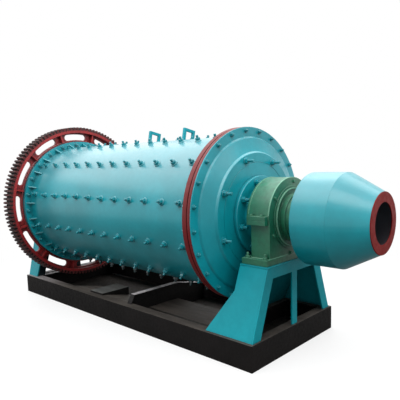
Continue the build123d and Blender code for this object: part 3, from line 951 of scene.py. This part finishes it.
cover_bolt = joined(
    spun([(0.017, -0.002), (0.017, 0.002), (0.010, 0.003)], 16),
    lifted(hexagon(0.024, 0.012), 0.002),
)
ear_bolt = joined(
    washer(0.019, 0.008, 0.002, 0.003, sides=18),
    lifted(hexagon(0.025, 0.012), 0.003),
)
foot_bolt = joined(
    washer(0.023, 0.012, 0.003, 0.004, sides=18),
    lifted(hexagon(0.035, 0.019, 0.011), 0.004),
    stud(0.0105, 0.021, 0.048, 0.004),
)
cover_bolt_count = 6
cover_bolt_step = 360 / cover_bolt_count
cover_bolt_radius = 0.320
cover_bolt_angle = 25
ear_bolt_offsets = (0.068, 0.176)
ear_bolt_y = 0.377
foot_bolt_offsets = (0.022, 0.209)
foot_bolt_y = 0.374
cover_places = []
ear_places = []
foot_places = []
for face_x, way in face_of_end.values():
    cover_x = face_x + way * housing_outer
    for k in range(cover_bolt_count):
        at = round_axis(cover_x, cover_bolt_radius, cover_bolt_angle + cover_bolt_step * k)
        cover_places.append(tightened(at, (way, 0, 0)))
    for side in (-1, 1):
        for along in ear_bolt_offsets:
            at = (face_x + way * (housing_inner + along), side * ear_bolt_y, ear_top_z)
            ear_places.append(tightened(at, (0, 0, 1)))
        for along in foot_bolt_offsets:
            at = (face_x + way * (housing_inner + along), side * foot_bolt_y, foot_top_z)
            foot_places.append(tightened(at, (0, 0, 1)))
piece("cover_bolts", stamped(cover_bolt, cover_places), bolt_green, "frame")
piece("ear_bolts", stamped(ear_bolt, ear_places), bolt_green, "frame")
piece("foot_bolts", stamped(foot_bolt, foot_places), bolt_green, "frame")

# Raised rims on the caps and covers, and the sealed seams of the housings, in a pale green
# that is wear and painted highlight
ridge_inner = 0.2525
ridge_outer = 0.2632
ridge_corners = [
    (housing_outer + 0.0095, ridge_inner, 0),
    (housing_outer + 0.0095, ridge_outer, 0.001),
    (housing_outer + 0.0208, ridge_outer, 0.002),
    (housing_outer + 0.0208, ridge_inner, 0.002),
]
# A cap's rims, by their place from the housing's inner face, their width and their rise
inner_rim = (0.018, 0.005, 0.0022)
outer_rim = (housing_width - 0.012, 0.012, 0.003)
rim_sunk = 0.002
rim_edge = 0.0015
rim_first_angle = 7.0
rim_last_angle = 173.0
rims = []
seams = []
for face_x, way in face_of_end.values():
    rims.append(lathe(rounded(ridge_corners, steps=3), small_round, face_x, way))
    for along, width, rise in (inner_rim, outer_rim):
        start = face_x + way * (housing_inner + along)
        finish = start + way * width
        top = cap_radius + rise
        lean = way * rim_edge
        outline = [
            (start, cap_radius - rim_sunk),
            (start, top - rim_edge),
            (start + lean, top),
            (finish - lean, top),
            (finish, top - rim_edge),
            (finish, cap_radius - rim_sunk),
        ]
        rims.append(arc_band(outline, rim_first_angle, rim_last_angle))
    inner_x = face_x + way * (housing_inner + 0.040)
    outer_x = face_x + way * housing_outer
    ear_start = face_x + way * (housing_inner + 0.042)
    ear_end = face_x + way * (housing_outer - 0.014)
    for side_y in (-housing_side_y, housing_side_y):
        start = (inner_x, side_y, foot_top_z)
        seams.append(run_bead(start, (outer_x, side_y, foot_top_z), 0.0050))
        start = (ear_start, side_y, ear_seam_z)
        seams.append(run_bead(start, (ear_end, side_y, ear_seam_z), 0.0040))
    for x in (outer_x, inner_x):
        start = (x, -housing_side_y, foot_top_z)
        seams.append(run_bead(start, (x, housing_side_y, foot_top_z), 0.0050))
piece("cap_rims", joined(*rims), pale_green, "frame")
piece("housing_seams", joined(*seams), pale_green, "frame")

# Base
for name in (
    "base_beam_near",
    "base_beam_far",
    "base_beam_feed",
    "base_beam_discharge",
    "base_cross_beam_feed",
    "base_cross_beam_discharge",
):
    dress(name, base_material, bevel=0.002)
dress("base_floor_plates", floor_material, bevel=0.001)
dress("base_bay_plate", bay_material, bevel=0.002)
dress("deck_plate", deck_material, bevel=0.002)
dress("deck_pad", pad_material, bevel=0.002)
dress("base_cross_wall", ledge_material, bevel=0.002)

# Floor, backdrop and light. To the camera the floor is pale, and white from white_distance
# on. The light finds a dark ground there, as the photo's underside shows, and reflections
# find that ground near the mill, and the white backdrop fully from mirror_distance on.
fade_start = 1.6
white_distance = 4.6
mirror_distance = 12.0
near_white = 0.66
world_light = 0.70
lamp_target = Vector((0.6, 0.0, 1.2))
lamp_distance = 8.0


def stage_floor():
    """A floor that keeps the shadow, and fades into the white round it."""
    reach = 60.0
    mesh = bpy.data.meshes.new("floor")
    mesh.from_pydata(
        [(-reach, -reach, 0), (reach, -reach, 0), (reach, reach, 0), (-reach, reach, 0)],
        [],
        [[0, 1, 2, 3]],
    )
    made = bpy.data.objects.new("floor", mesh)
    bpy.context.scene.collection.objects.link(made)
    material = bpy.data.materials.new("pale_floor")
    material.use_nodes = True
    material.node_tree.nodes.clear()
    floor = Nodes(material.node_tree)
    camera_ray = floor.new("LightPath").outputs["Is Camera Ray"]
    ground = floor.flat("BsdfDiffuse", dark_ground)
    pale = floor.flat("BsdfDiffuse", linear(floor_white))
    white = floor.flat("Emission", (1, 1, 1, 1))
    distance = floor.new("VectorMath")
    distance.operation = "LENGTH"
    floor.feed(distance.inputs[0], floor.new("NewGeometry").outputs["Position"])
    away = distance.outputs["Value"]
    fade = floor.step(away, fade_start, white_distance, near_white, 1.0)
    seen = floor.times(fade, camera_ray)
    backdrop = floor.step(away, white_distance, mirror_distance)
    mirrored = floor.times(backdrop, floor.background_rays())
    near = floor.mixed(camera_ray, ground, pale)
    whole = floor.mixed(floor.work("MAXIMUM", seen, mirrored), near, white)
    floor.feed(floor.new("OutputMaterial").inputs["Surface"], whole)
    mesh.materials.append(material)


def stage_world():
    """A white world that is dimmer as a light than it looks."""
    world = bpy.data.worlds.new("studio")
    bpy.context.scene.world = world
    world.use_nodes = True
    world.node_tree.nodes.clear()
    sky = Nodes(world.node_tree)
    back = sky.new("Background")
    back.inputs["Color"].default_value = (1, 1, 1, 1)
    strength = sky.step(sky.background_rays(), 0.0, 1.0, world_light, 1.0)
    sky.feed(back.inputs["Strength"], strength)
    sky.feed(sky.new("OutputWorld").inputs["Surface"], back.outputs[0])


def softbox(name, heading, elevation, width, height, radiance):
    """A large soft lamp that looks at the mill, given by how bright its face is.

    The heading is in degrees from +X towards +Y, and the elevation is up from the level.
    """
    turn = math.radians(heading)
    rise = math.radians(elevation)
    level = math.cos(rise)
    out = Vector((level * math.cos(turn), level * math.sin(turn), math.sin(rise)))
    light = bpy.data.lights.new(name, "AREA")
    light.shape = "RECTANGLE"
    light.size = width
    light.size_y = height
    light.energy = radiance * math.pi * width * height
    made = bpy.data.objects.new(name, light)
    bpy.context.scene.collection.objects.link(made)
    made.location = lamp_target + out * lamp_distance
    made.rotation_mode = "QUATERNION"
    made.rotation_quaternion = (-out).to_track_quat("-Z", "Y")


stage_floor()
stage_world()
softbox("top", 0, 90, 5.0, 5.0, 2.3)
softbox("high_front", -60, 55, 7.0, 4.0, 3.3)
softbox("high_side", -130, 55, 7.0, 4.0, 1.7)
softbox("high_left", 160, 55, 7.0, 4.0, 1.4)
softbox("high_back", 90, 55, 7.0, 4.0, 2.0)
softbox("front", 10, 35, 6.0, 4.0, 2.4)
softbox("left", -150, 30, 5.0, 3.0, 1.45)
softbox("far_left", 165, 30, 5.0, 3.0, 1.3)
softbox("back", 120, 30, 5.0, 3.0, 0.7)

# Camera, placed as the one that took the photo, with its angles in radians
camera_position = Vector((3.8605, -3.409, 1.710))
camera_yaw = 0.72819
camera_pitch = 0.11864
camera_roll = -0.02103
lens = bpy.data.cameras.new("camera")
lens.lens = 40.437
lens.sensor_width = 36.0
lens.shift_x = -0.05695
lens.shift_y = 0.0423
lens.clip_end = 200.0
level = math.cos(camera_pitch)
forward = Vector(
    (-math.sin(camera_yaw) * level, math.cos(camera_yaw) * level, -math.sin(camera_pitch))
)
right = Vector((math.cos(camera_yaw), math.sin(camera_yaw), 0))
up = right.cross(forward)
camera_x = right * math.cos(camera_roll) + up * math.sin(camera_roll)
camera_y = up * math.cos(camera_roll) - right * math.sin(camera_roll)
facing = Matrix((camera_x, camera_y, -forward)).transposed().to_4x4()
facing.translation = camera_position
camera = bpy.data.objects.new("camera", lens)
bpy.context.scene.collection.objects.link(camera)
camera.matrix_world = facing
bpy.context.scene.camera = camera
bpy.context.scene.view_settings.view_transform = "Standard"
